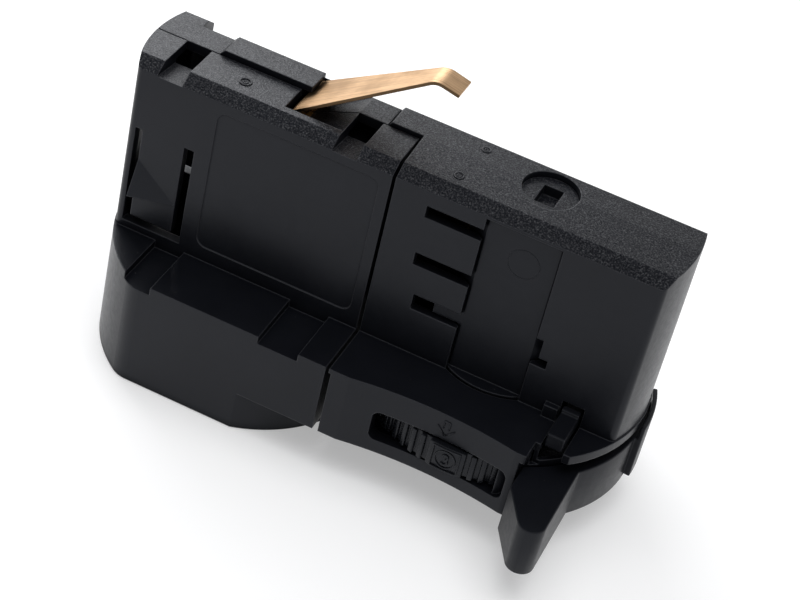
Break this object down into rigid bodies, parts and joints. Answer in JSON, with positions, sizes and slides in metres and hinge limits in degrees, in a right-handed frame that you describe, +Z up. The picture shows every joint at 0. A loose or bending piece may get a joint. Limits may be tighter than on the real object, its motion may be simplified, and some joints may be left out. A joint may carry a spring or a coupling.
{
  "type": "track light adapter",
  "caption": "Moulded adapter that clips a lamp into a three-circuit lighting track, with a turning lock lever, a numbered thumbwheel and a sprung earth strip.",
  "frame": {"origin": "on the ledge plane that meets the track, on the mid-plane, at the seam between the left and the right half", "axes": "+Z up into the track, +X along the track from the foot half to the lever half, -Y to the side with the contact slots"},
  "size_m": [0.0808, 0.0451, 0.0559],
  "materials": {
    "shell": "fine spark-eroded texture, black",
    "mechanism": "smooth moulded, black",
    "copper": "brushed bronze strip",
    "brass": "machined",
    "steel": "zinc plated",
    "terminal": "moulded, off-white"
  },
  "bodies": {
    "housing": {"left_front_shell": "shell", "left_rear_shell": "shell", "right_front_shell": "shell", "right_rear_shell": "shell", "shell_screws": "steel", "thread_bush": "brass", "terminal_block": "terminal", "terminal_clamps": "brass", "terminal_screws": "steel", "phase_strip": "copper", "neutral_strip": "copper", "earth_terminal": "brass"},
    "lock": {"lever": "mechanism", "rotor_drum": "mechanism", "phase_contact": "copper", "neutral_contact": "copper", "rotor_screw": "steel", "rotor_washer": "steel"},
    "selector": {"thumbwheel": "mechanism"},
    "button": {"interlock_button": "mechanism"},
    "earth": {"earth_strip": "copper"}
  },
  "joints": [
    {"name": "lever_turn", "type": "hinge", "parent": "housing", "child": "lock", "pos_m": [0.0187, 0, 0], "axis": [0, 0, 1], "range_deg": [0, 52]},
    {"name": "wheel_turn", "type": "hinge", "parent": "housing", "child": "selector", "pos_m": [0.0187, 0, -0.0067], "axis": [0, 0, 1], "range_deg": [0, 80]},
    {"name": "button_press", "type": "slide", "parent": "housing", "child": "button", "axis": [0, 0, 1], "range_m": [-0.002, 0], "stiffness_N_per_m": 400, "springref_m": 0.001},
    {"name": "earth_bend", "type": "hinge", "parent": "housing", "child": "earth", "pos_m": [-0.017, 0, 0.02655], "axis": [0, 1, 0], "range_deg": [0, 20], "stiffness_Nm_per_rad": 0.15, "springref_deg": -2.86}
  ]
}
